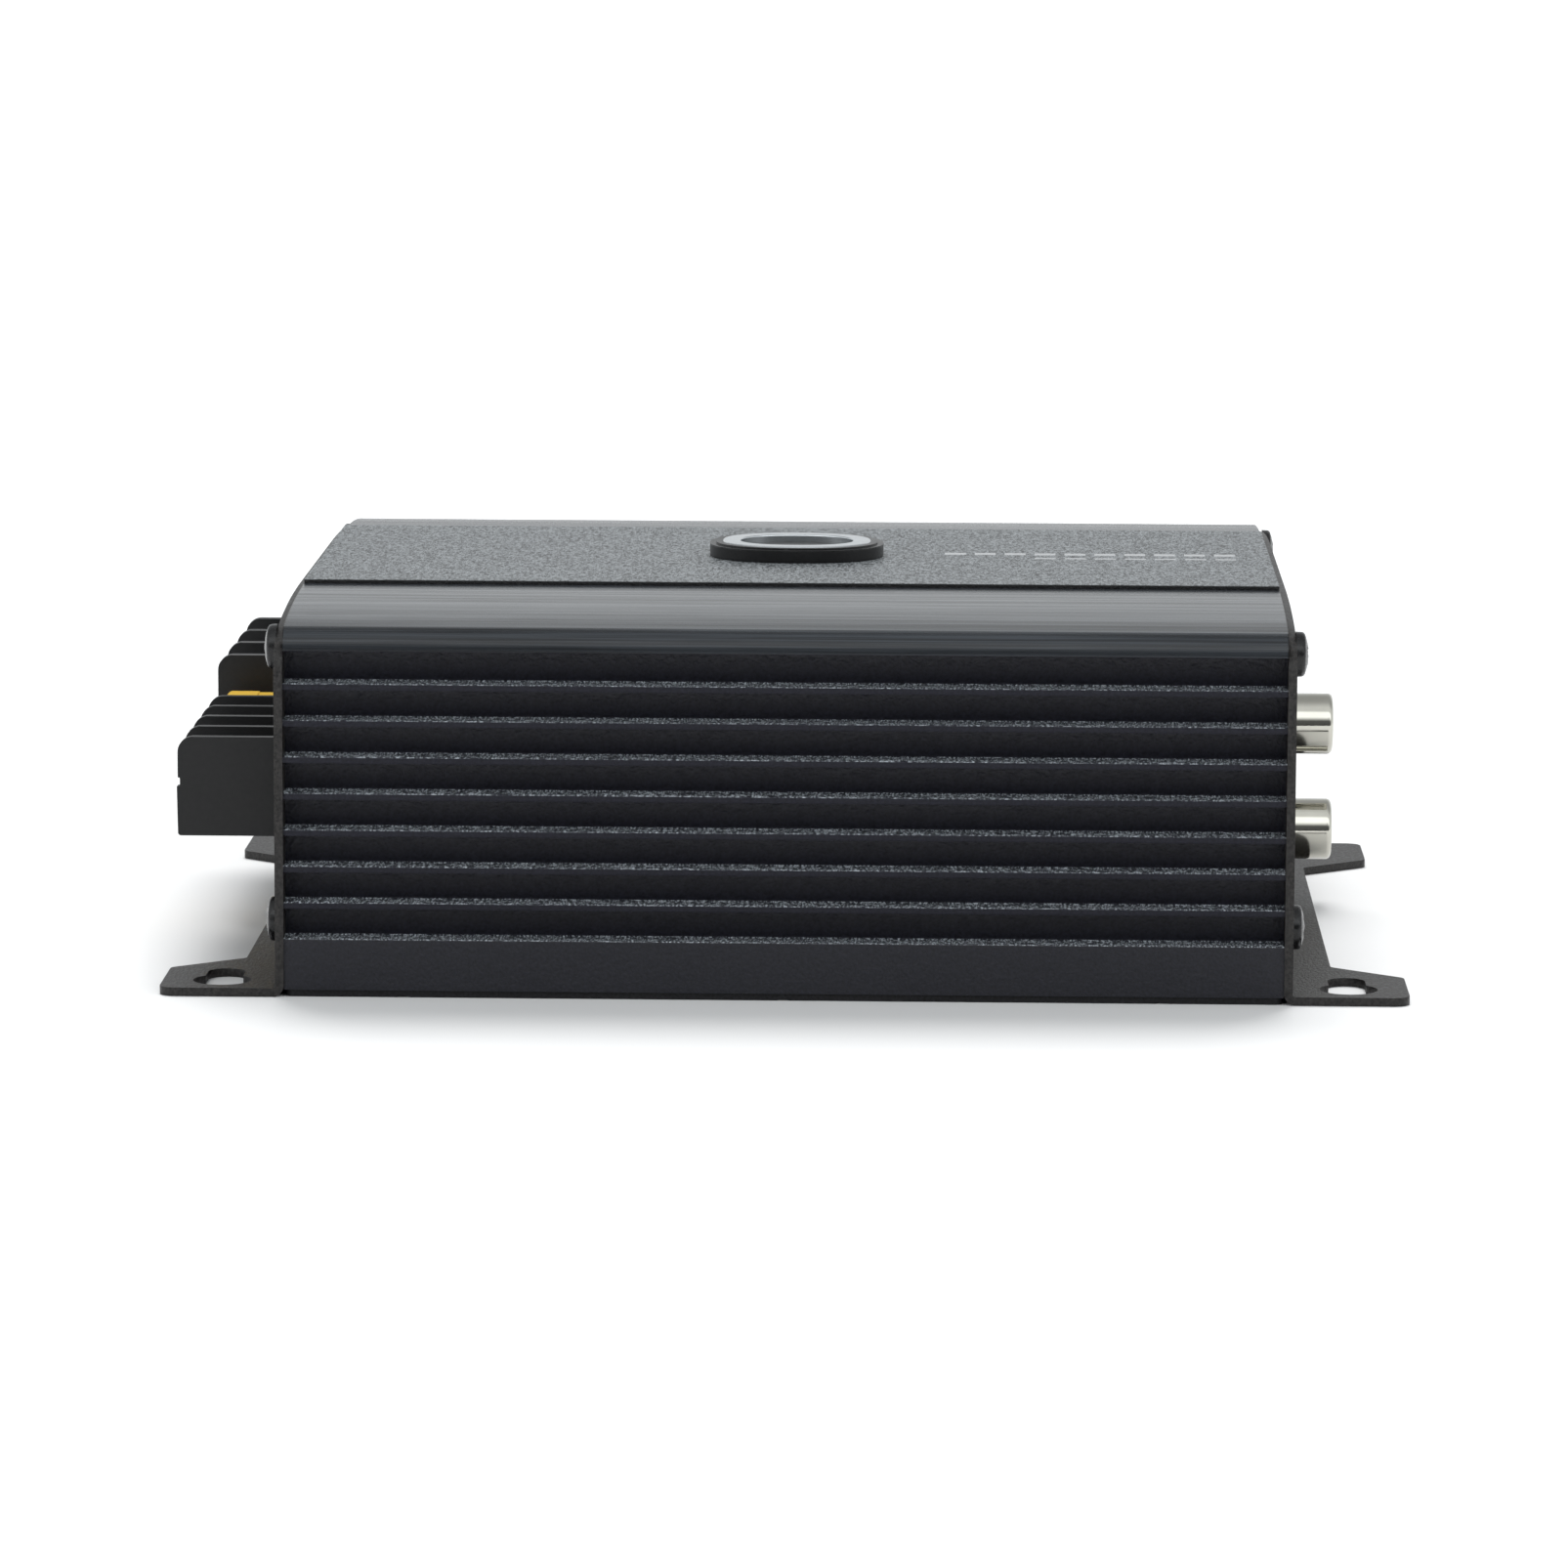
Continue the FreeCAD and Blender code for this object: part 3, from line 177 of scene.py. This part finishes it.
def heatsink():
    """One extrusion: brushed dark anodised crown over powder coated fins."""
    k = Mat("heatsink_finish")
    X, Y, Z = k.xyz()
    v = k.mapping()
    # powder coated part
    fine = k.noise(v, 2300.0, 2.0, 0.62)
    peel = k.noise(v, 900.0, 2.0, 0.5)
    big = k.noise(v, 55.0, 4.0, 0.6)
    base = k.mix(k.ramp(fine, [(0.3, 0.0), (0.7, 1.0)]), (0.0048, 0.0050, 0.0082), (0.0110, 0.0114, 0.0185))
    base = k.mix(k.math("MULTIPLY", k.ramp(big, [(0.4, 0.0), (0.8, 1.0)]), 0.06), base, (0.03, 0.03, 0.036))
    # painted glints: bright specks painted onto the upward faces of the fins, a painted highlight of the coating
    # texture
    painted_glint_noise = k.noise(k.mapping((3900.0, 760.0, 3900.0)), 1.0, 2.0, 0.85)
    painted_glint = k.ramp(painted_glint_noise, [(0.42, 0.0), (0.52, 0.14), (0.60, 1.0)])
    painted_glint_on_tops = k.math("MULTIPLY", k.step(k.up(), 0.35, 0.8), painted_glint)
    base = k.mix(painted_glint_on_tops, base, (0.56, 0.61, 0.66))
    hp = k.math("ADD", fine, k.math("MULTIPLY", peel, 0.9))
    # brushed part: long streaks along X
    s1 = k.noise(k.mapping((14.0, 1700.0, 2600.0)), 1.0, 3.0, 0.7)
    s2 = k.noise(k.mapping((45.0, 4000.0, 7000.0)), 1.0, 2.0, 0.6)
    s3 = k.noise(k.mapping((3.5, 900.0, 900.0)), 1.0, 2.0, 0.5)
    streak = k.math("ADD", k.math("MULTIPLY", s1, 0.45), k.math("ADD", k.math("MULTIPLY", s2, 0.25), k.math("MULTIPLY", s3, 0.30)))
    sr_ = k.ramp(streak, [(0.38, 0.0), (0.62, 1.0)])
    bcol = k.mix(sr_, (0.002, 0.0026, 0.0036), (0.042, 0.048, 0.056))
    mask = k.math("GREATER_THAN", Z, 0.04418)
    # painted shade: a dark strip at each end of the crown, where it meets the end plates
    end = k.math("GREATER_THAN", k.math("ABSOLUTE", X), 0.06309)
    bcol = k.mix(end, bcol, (0.004, 0.004, 0.005))
    # painted shadow: the lower part of the steep faces on the crown beside the panel is painted near black, a shadow
    # line along the step
    side = k.math("MULTIPLY", k.math("GREATER_THAN", Z, 0.0470), k.math("LESS_THAN", k.math("ABSOLUTE", k.up()), 0.4))
    painted_step_shadow = k.math("MULTIPLY", side, k.math("LESS_THAN", Z, 0.04856))
    bcol = k.mix(painted_step_shadow, bcol, (0.0015, 0.0015, 0.0016))
    k.to("Base Color", k.mix(mask, base, bcol))
    k.to("Metallic", k.math("MULTIPLY", mask, 0.16))
    rp = k.mixf(k.ramp(peel, [(0.3, 0.0), (0.7, 1.0)]), 0.38, 0.52)
    rb = k.mixf(sr_, 0.31, 0.15)
    k.to("Roughness", k.mixf(mask, rp, rb))
    nb = k.bump(streak, 0.40, 0.00005)
    np_ = k.bump(hp, 0.9, 0.00016)
    mixn = k.n("ShaderNodeMix", data_type="VECTOR")
    k.l(mask, mixn.inputs[0])
    k.l(np_, mixn.inputs[4])
    k.l(nb, mixn.inputs[5])
    k.to("Normal", mixn.outputs[1])
    k.set(Specular_IOR_Level=0.40)
    # painted shade: the reflection is weakened by position, darkest at the bottom of each groove and lighter towards
    # the fin above; the fronts of the fin tips reflect less than the skirt
    deep = k.step(k.math("ABSOLUTE", Y), 0.0588, 0.0618)
    rise = k.math("FRACT", k.math("DIVIDE", k.math("SUBTRACT", Z, 0.00746), 0.00465))
    groove_painted_shade = k.mix(k.step(rise, 0.05, 0.85), (0.26, 0.26, 0.26), (0.85, 0.85, 0.86))
    tip = k.math("MULTIPLY", k.math("GREATER_THAN", Z, 0.00756), deep)
    face = k.mix(tip, (1.0, 1.0, 1.0), (0.62, 0.62, 0.66))
    face = k.mix(mask, face, (1.0, 1.0, 1.0))
    tint = k.mix(k.math("MAXIMUM", deep, mask), groove_painted_shade, face)
    k.to("Specular Tint", tint)
    return k


def panel_mat():
    k = Mat("top_panel_texture")
    X, Y, Z = k.xyz()
    v = k.mapping()
    g = k.noise(k.mapping((2500.0, 760.0, 2500.0)), 1.0, 2.0, 0.8)
    g2 = k.noise(k.mapping((5200.0, 1500.0, 5200.0)), 1.0, 2.0, 0.6)
    big = k.noise(v, 30.0, 3.0, 0.6)
    h = k.math("ADD", g, k.math("MULTIPLY", g2, 0.4))
    col = k.mix(k.ramp(k.mixf(0.4, g, g2), [(0.40, 0.0), (0.60, 1.0)]), (0.004, 0.005, 0.006), (0.215, 0.232, 0.243))
    col = k.mix(k.math("MULTIPLY", big, 0.15), col, (0.11, 0.112, 0.115))
    # plain printed dashes, two rows
    bars = None
    for y0, x0, x1, wide in ((0.0022, 0.0198, 0.0587, 0.0011), (-0.0025, 0.0318, 0.0587, 0.0006)):
        row = k.math("LESS_THAN", k.math("ABSOLUTE", k.math("SUBTRACT", Y, y0)), wide)
        inside = k.math("MULTIPLY", k.math("GREATER_THAN", X, x0), k.math("LESS_THAN", X, x1))
        dash = k.math("LESS_THAN", k.math("FRACT", k.math("DIVIDE", k.math("SUBTRACT", X, x0), 0.0040)), 0.70)
        one = k.math("MULTIPLY", row, k.math("MULTIPLY", inside, dash))
        bars = one if bars is None else k.math("MAXIMUM", bars, one)
    face = k.step(k.up(), 0.5, 0.9)
    bars = k.math("MULTIPLY", bars, face)
    col = k.mix(k.math("SUBTRACT", 1.0, face), col, (0.008, 0.008, 0.009))
    k.to("Base Color", k.mix(bars, col, (0.42, 0.43, 0.44)))
    k.to("Metallic", k.mixf(bars, 0.10, 0.6))
    k.to("Normal", k.bump(h, 0.8, 0.00012))
    k.to("Roughness", k.mixf(bars, k.mixf(g2, 0.38, 0.52), 0.3))
    return k


def plastic(name, base, rough=0.5, grain=1600.0, bump=0.25, dist=0.00006, spec=0.5, vary=0.2):
    k = Mat(name)
    v = k.mapping()
    g = k.noise(v, grain, 3.0, 0.6)
    big = k.noise(v, 90.0, 3.0, 0.6)
    a = tuple(max(0.0, c * (1 - vary)) for c in base)
    b = tuple(min(1.0, c * (1 + vary)) for c in base)
    k.to("Base Color", k.mix(k.ramp(k.math("ADD", k.math("MULTIPLY", g, 0.5), k.math("MULTIPLY", big, 0.5)), [(0.35, 0.0), (0.65, 1.0)]), a, b))
    k.to("Normal", k.bump(g, bump, dist))
    k.to("Roughness", k.mixf(big, rough - 0.08, rough + 0.1))
    k.set(Specular_IOR_Level=spec)
    return k


def metal(name, base, rough=0.2, axis=0, streaks=3000.0, strength=0.12, dist=0.00003, tarnish=0.1, aniso=0.0):
    """Plated or machined metal with fine lines along an axis and a little tarnish."""
    k = Mat(name)
    sc = [streaks] * 3
    sc[axis] = 60.0
    s = k.noise(k.mapping(tuple(sc)), 1.0, 2.0, 0.6)
    big = k.noise(k.mapping(), 240.0, 3.0, 0.6)
    low = tuple(c * (1 - tarnish) for c in base)
    k.to("Base Color", k.mix(k.ramp(big, [(0.35, 0.0), (0.7, 1.0)]), low, base))
    k.to("Roughness", k.mixf(s, rough * 0.75, rough * 1.3))
    k.to("Normal", k.bump(s, strength, dist))
    k.set(Metallic=1.0, Anisotropic=aniso)
    return k


hs = heatsink()
pan = panel_mat()
coat = powder("end_plate_powder_coat", (0.0140, 0.0128, 0.0122), rough=0.44, grain=2600.0, bump=0.8, dist=0.00012, spec=0.34)
coat_base = powder("base_powder_coat", (0.006, 0.006, 0.007), rough=0.5, spec=0.25)
blackscrew = powder("black_screw_finish", (0.004, 0.004, 0.0045), rough=0.26, grain=1800.0, bump=0.15, spec=0.4)
block = plastic("terminal_plastic", (0.0098, 0.0098, 0.0104), rough=0.44, spec=0.34)
gloss = plastic("badge_black", (0.0075, 0.0075, 0.008), rough=0.34, bump=0.1, spec=0.35)
ringm = metal("badge_satin_chrome", (0.62, 0.65, 0.67), rough=0.24, strength=0.06, tarnish=0.05)
nickel = metal("phono_nickel", (0.56, 0.548, 0.49), rough=0.075, strength=0.05, tarnish=0.08)
contact = metal("contact_nickel", (0.72, 0.70, 0.62), rough=0.26, tarnish=0.15)
zinc = metal("zinc_plate", (0.66, 0.67, 0.66), rough=0.3, tarnish=0.18)
steel = metal("plain_steel", (0.55, 0.56, 0.57), rough=0.35, tarnish=0.2)
yellow = plastic("fuse_amber", (0.95, 0.60, 0.08), rough=0.28, bump=0.08, vary=0.08)
yellow.set(Transmission_Weight=0.25, IOR=1.5)
white = plastic("white_nylon", (0.72, 0.71, 0.67), rough=0.45, bump=0.1, vary=0.05)
red = plastic("red_nylon", (0.45, 0.02, 0.02), rough=0.42, bump=0.1, vary=0.1)
knob = plastic("knob_black", (0.02, 0.02, 0.021), rough=0.45)
led = plastic("led_lens", (0.6, 0.03, 0.02), rough=0.12, bump=0.03, vary=0.05)
led.set(Transmission_Weight=0.5)
board = plastic("solder_mask", (0.012, 0.09, 0.035), rough=0.35)
chip = plastic("moulded_epoxy", (0.02, 0.02, 0.021), rough=0.6)
sleeve = plastic("capacitor_sleeve", (0.015, 0.02, 0.06), rough=0.3)
ferrite = plastic("ferrite", (0.03, 0.05, 0.04), rough=0.6)
copper = metal("enamelled_copper", (0.62, 0.24, 0.10), rough=0.25)
pad = plastic("thermal_pad", (0.4, 0.4, 0.41), rough=0.7)

SLOTS = {
    "anodised_black_extrusion": hs, "textured_silver_panel": pan, "powder_coated_steel": coat, "badge_plastic": gloss,
    "badge_chrome": ringm, "screw_black": blackscrew, "screw_zinc": zinc, "terminal_plastic": block,
    "contact_nickel": contact, "rca_nickel": nickel, "white_plastic": white, "red_plastic": red, "fuse_yellow": yellow,
    "fuse_zinc": steel, "knob_plastic": knob, "led_red": led, "board_green": board, "chip_black": chip,
    "capacitor_sleeve": sleeve, "ferrite": ferrite, "copper_wire": copper, "pad_grey": pad, "plain_steel": steel,
}
for sp in frame["record"]["subparts"]:
    if sp["node"] in nodes:
        paint(sp["node"], SLOTS[sp["material_slot"]])
paint("base_cover", coat_base)


# ------------------------------------------------------------------ broken edges
def soften(name, width, segments=2, angle=38):
    o = nodes[name]
    wd = o.modifiers.new("join_faces", "WELD")
    wd.merge_threshold = 0.000002
    m = o.modifiers.new("edge_break", "BEVEL")
    m.width = width
    m.segments = segments
    m.limit_method = "ANGLE"
    m.angle_limit = math.radians(angle)
    m.harden_normals = True
    m.miter_outer = "MITER_ARC"


for n_, w_ in (("end_plate_wiring", 0.00026), ("end_plate_input", 0.00026), ("speaker_terminal_block", 0.00018),
               ("power_terminal_block", 0.00018), ("badge_base", 0.00018), ("fuse_body", 0.00018)):
    soften(n_, w_)


# ------------------------------------------------------------------ floor, light, camera
fm = Mat("floor_white")
fn = fm.noise(fm.mapping(), 3.0, 3.0, 0.5)
fm.to("Base Color", fm.mix(fn, (0.745, 0.745, 0.745), (0.765, 0.765, 0.765)))
fm.set(Roughness=0.9, Specular_IOR_Level=0.1)
me = bpy.data.meshes.new("floor")
bm = bmesh.new()
bmesh.ops.create_grid(bm, x_segments=8, y_segments=8, size=6.0)
bm.to_mesh(me)
bm.free()
floor = bpy.data.objects.new("floor", me)
floor.location = (0, 0, -0.00002)
scene.collection.objects.link(floor)
me.materials.append(fm.m)

w = bpy.data.worlds.new("studio")
scene.world = w
w.use_nodes = True
wt = w.node_tree
bg = wt.nodes["Background"]
tcw = wt.nodes.new("ShaderNodeTexCoord")
sep = wt.nodes.new("ShaderNodeSeparateXYZ")
wt.links.new(tcw.outputs["Generated"], sep.inputs[0])


def wmap(out, a, b, lo_, hi_):
    x = wt.nodes.new("ShaderNodeMapRange")
    x.interpolation_type = "SMOOTHSTEP"
    for n_, v_ in (("From Min", a), ("From Max", b), ("To Min", lo_), ("To Max", hi_)):
        x.inputs[n_].default_value = v_
    wt.links.new(out, x.inputs["Value"])
    return x.outputs["Result"]


def wmul(a, b):
    x = wt.nodes.new("ShaderNodeMath")
    x.operation = "MULTIPLY"
    wt.links.new(a, x.inputs[0])
    wt.links.new(b, x.inputs[1])
    return x.outputs[0]


ang = wt.nodes.new("ShaderNodeMath")
ang.operation = "ARCTAN2"
wt.links.new(sep.outputs[2], ang.inputs[0])
wt.links.new(sep.outputs[1], ang.inputs[1])
deg = wt.nodes.new("ShaderNodeMath")
deg.operation = "DIVIDE"
deg.inputs[1].default_value = math.pi
wt.links.new(ang.outputs[0], deg.inputs[0])
prof = wt.nodes.new("ShaderNodeFloatCurve")
PROFILE = ((0, 0.60), (5, 0.70), (11, 0.97), (18, 0.92), (30, 0.62), (50, 0.46), (72, 0.48), (84, 0.55), (94, 0.72), (108, 1.0), (124, 1.05), (130, 2.0), (148, 2.0), (155, 0.95), (162, 0.16), (180, 0.10))
cv = prof.mapping.curves[0]
prof.mapping.use_clip = False
cv.points[0].location = (PROFILE[0][0] / 180, PROFILE[0][1] / 2.5)
cv.points[1].location = (PROFILE[-1][0] / 180, PROFILE[-1][1] / 2.5)
for d_, v_ in PROFILE[1:-1]:
    cv.points.new(d_ / 180, v_ / 2.5)
for pt in cv.points:
    pt.handle_type = "VECTOR"
prof.mapping.update()
wt.links.new(deg.outputs[0], prof.inputs["Value"])
absx = wt.nodes.new("ShaderNodeMath")
absx.operation = "ABSOLUTE"
wt.links.new(sep.outputs[0], absx.inputs[0])
far = wmap(absx.outputs[0], 0.72, 0.95, 0.0, 1.0)
blend = wt.nodes.new("ShaderNodeMix")
blend.data_type = "FLOAT"
scaled = wt.nodes.new("ShaderNodeMath")
scaled.operation = "MULTIPLY"
scaled.inputs[1].default_value = 2.5
wt.links.new(prof.outputs["Value"], scaled.inputs[0])
wt.links.new(far, blend.inputs[0])
wt.links.new(scaled.outputs[0], blend.inputs[2])
blend.inputs[3].default_value = 0.95
wt.links.new(blend.outputs[0], bg.inputs["Strength"])
bg.inputs["Color"].default_value = (0.972, 0.998, 1.012, 1)


def area(name, loc, target, size, power, size_y=None, color=(1, 1, 1)):
    d = bpy.data.lights.new(name, "AREA")
    d.energy = power
    d.color = color
    d.shape = "RECTANGLE"
    d.size = size
    d.size_y = size_y or size
    o = bpy.data.objects.new(name, d)
    o.location = loc
    o.rotation_mode = "QUATERNION"
    o.rotation_quaternion = (Vector(target) - Vector(loc)).to_track_quat("-Z", "Y")
    scene.collection.objects.link(o)
    return o


sun_d = bpy.data.lights.new("soft_top_light", "SUN")
sun_d.energy = 2.9
sun_d.angle = math.radians(36)
sun = bpy.data.objects.new("soft_top_light", sun_d)
sun.rotation_mode = "QUATERNION"
sun.rotation_quaternion = (-Vector((0.0, 0.56, 1.0))).to_track_quat("-Z", "Y")
sun.visible_glossy = False
scene.collection.objects.link(sun)
cam_d = bpy.data.cameras.new("camera")
cam = bpy.data.objects.new("camera", cam_d)
scene.collection.objects.link(cam)
scene.camera = cam
cam_d.sensor_width = 36.0
cam_d.lens = 36.0 * 7500.0 / 1605.0
cam_d.clip_start, cam_d.clip_end = 0.01, 50.0
px, py, pz = 0.02327299, -0.97355352, 0.16453519
yaw, pitch, roll = 0.025531556, 0.148952716, 0.004246334
cp, sp_, cr, sr, cy, sy = math.cos(pitch), math.sin(pitch), math.cos(roll), math.sin(roll), math.cos(yaw), math.sin(yaw)
right, fwd, up = Vector((1, 0, 0)), Vector((0, cp, -sp_)), Vector((0, sp_, cp))
r2 = cr * right + sr * up
u2 = -sr * right + cr * up
Rz = Matrix(((cy, -sy, 0), (sy, cy, 0), (0, 0, 1)))
r2, u2, fwd = Rz @ r2, Rz @ u2, Rz @ fwd
cam.matrix_world = Matrix(((r2.x, u2.x, -fwd.x, px), (r2.y, u2.y, -fwd.y, py), (r2.z, u2.z, -fwd.z, pz), (0, 0, 0, 1)))

scene.view_settings.view_transform = "Standard"
scene.view_settings.look = "None"
scene.view_settings.exposure = 0.0
scene.view_settings.gamma = 1.0
